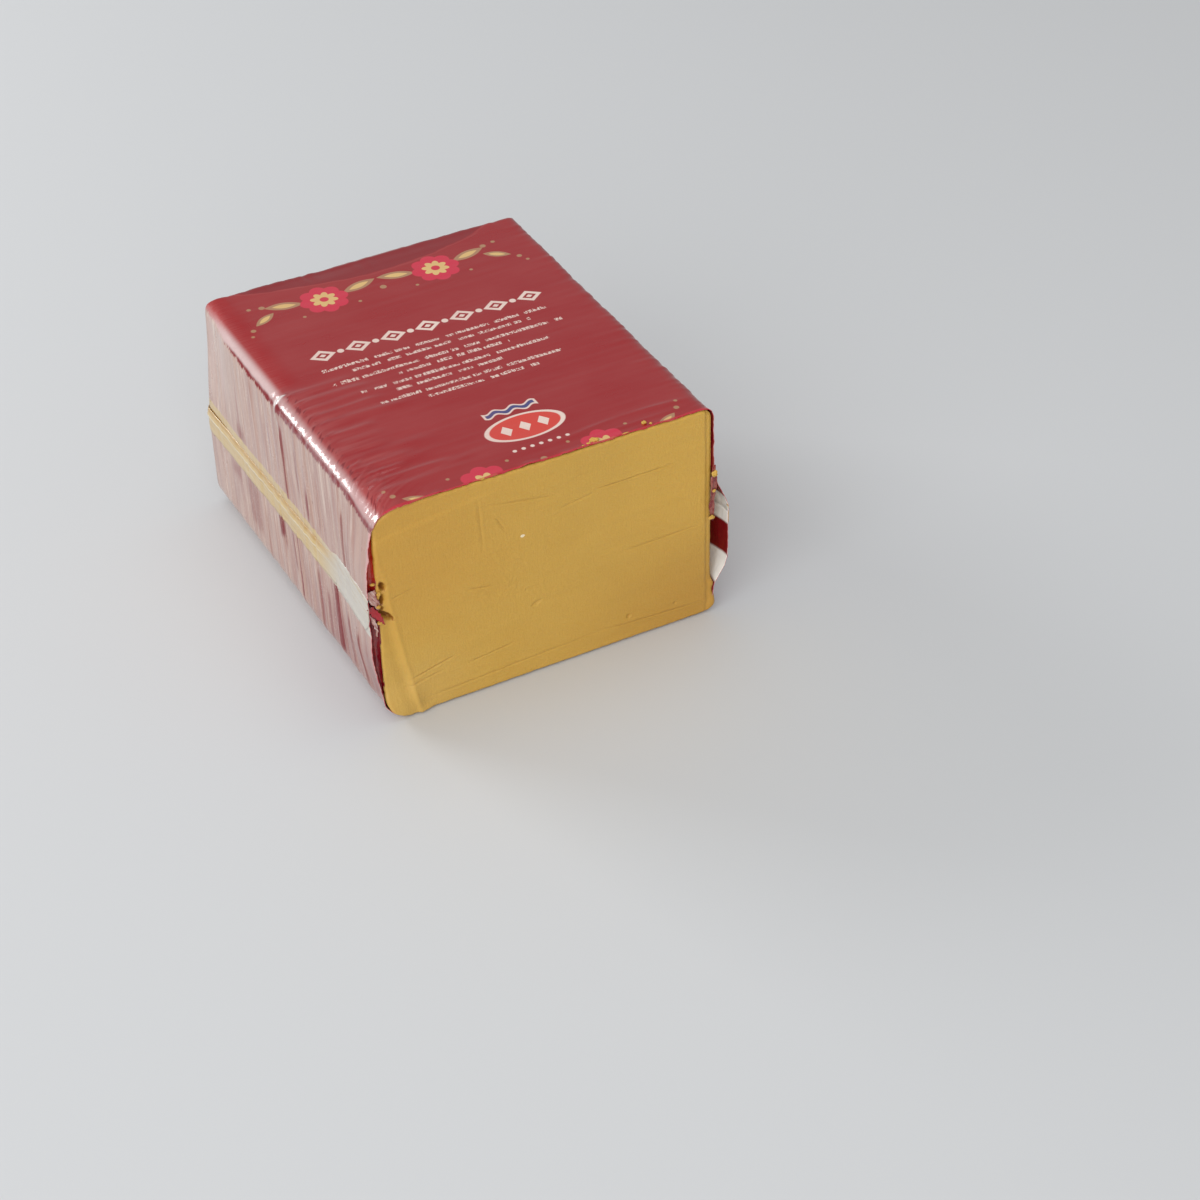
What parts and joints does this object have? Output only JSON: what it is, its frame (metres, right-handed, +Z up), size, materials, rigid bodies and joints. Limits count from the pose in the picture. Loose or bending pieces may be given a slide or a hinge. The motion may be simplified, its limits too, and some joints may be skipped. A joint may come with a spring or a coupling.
{
  "type": "brown cheese block in printed film",
  "caption": "Rectangular block of brown whey cheese in a tight printed film, one end cut off square, the other sealed, with a folded seal band round its sides.",
  "frame": {"origin": "middle of the flat underside that the block rests on", "axes": "+Z up out of the underside, -Y out of the cut face, +Y towards the sealed end, +X to the right as seen from the cut face"},
  "size_m": [0.0867, 0.0951, 0.0528],
  "materials": {
    "cheese": "smooth, waxy and satin, golden brown through and through",
    "film_printed": "thin glossy film printed wine red, crinkled along its sides",
    "film_plain": "unprinted cloudy film over cheese, creased"
  },
  "bodies": {
    "root": {"cheese": "cheese", "film_upper": "film_printed", "film_lower": "film_printed", "seal_band": "film_plain"}
  },
  "joints": []
}
